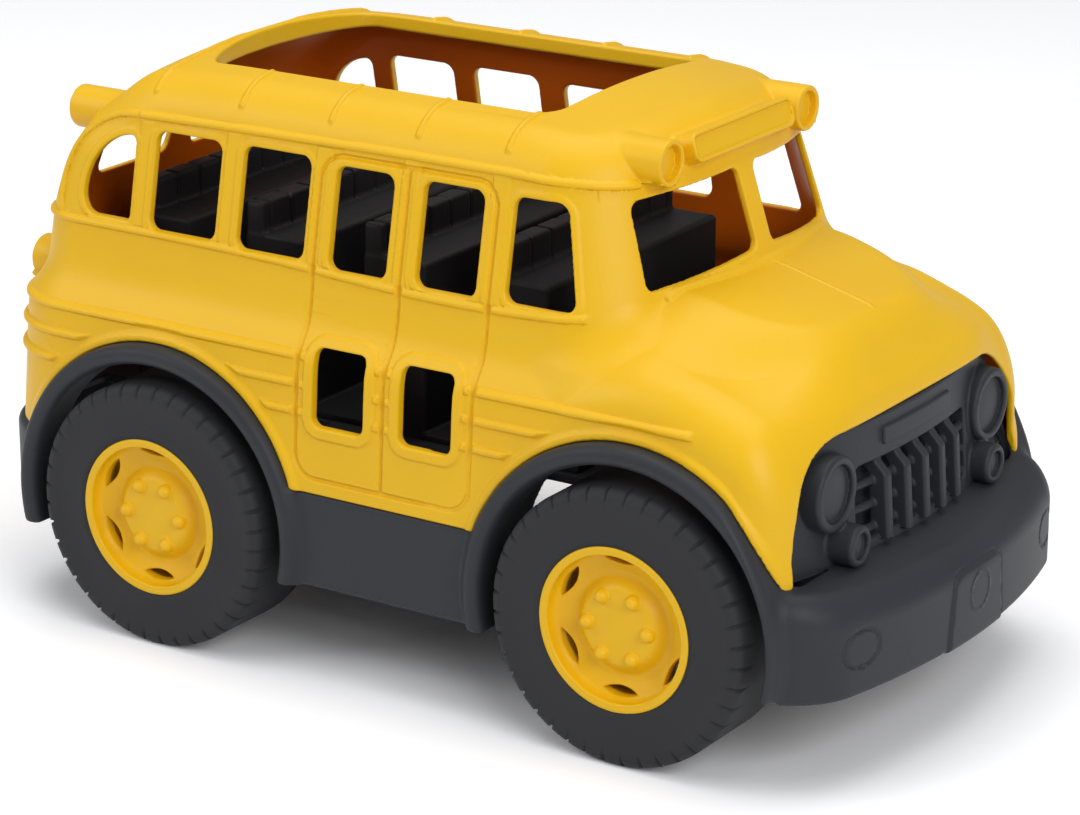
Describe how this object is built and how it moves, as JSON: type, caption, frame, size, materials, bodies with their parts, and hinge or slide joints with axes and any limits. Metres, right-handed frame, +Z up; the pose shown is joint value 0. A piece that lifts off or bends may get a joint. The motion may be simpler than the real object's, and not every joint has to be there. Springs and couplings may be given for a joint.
{
  "type": "toy bus",
  "caption": "Chunky toy school bus with an open roof: moulded yellow body with side and front windows on a dark chassis, with bench seats and free-rolling wheels.",
  "frame": {"origin": "on the floor under the middle of the bus, where the tyres stand", "axes": "+X forward, +Y to the bus's left, +Z up; the door is on the -Y side"},
  "size_m": [0.268, 0.146, 0.1537],
  "materials": {
    "yellow_body": "satin moulded",
    "grey_chassis": "satin moulded",
    "grey_grille": "satin moulded",
    "grey_seats": "satin moulded",
    "grey_axle": "smooth moulded",
    "yellow_hub": "satin moulded",
    "grey_tyre": "matt moulded"
  },
  "bodies": {
    "bus_body": {"body_shell": "yellow_body", "chassis": "grey_chassis", "grille_panel": "grey_grille", "seat_insert": "grey_seats"},
    "front_wheels": {"front_axle": "grey_axle", "hub_front_left": "yellow_hub", "hub_front_right": "yellow_hub", "tyre_front_left": "grey_tyre", "tyre_front_right": "grey_tyre"},
    "rear_wheels": {"rear_axle": "grey_axle", "hub_rear_left": "yellow_hub", "hub_rear_right": "yellow_hub", "tyre_rear_left": "grey_tyre", "tyre_rear_right": "grey_tyre"}
  },
  "joints": [
    {"name": "front_roll", "type": "hinge", "parent": "bus_body", "child": "front_wheels", "pos_m": [0.071, 0, 0.036], "axis": [0, 1, 0], "continuous": true},
    {"name": "rear_roll", "type": "hinge", "parent": "bus_body", "child": "rear_wheels", "pos_m": [-0.073, 0, 0.036], "axis": [0, 1, 0], "continuous": true}
  ]
}
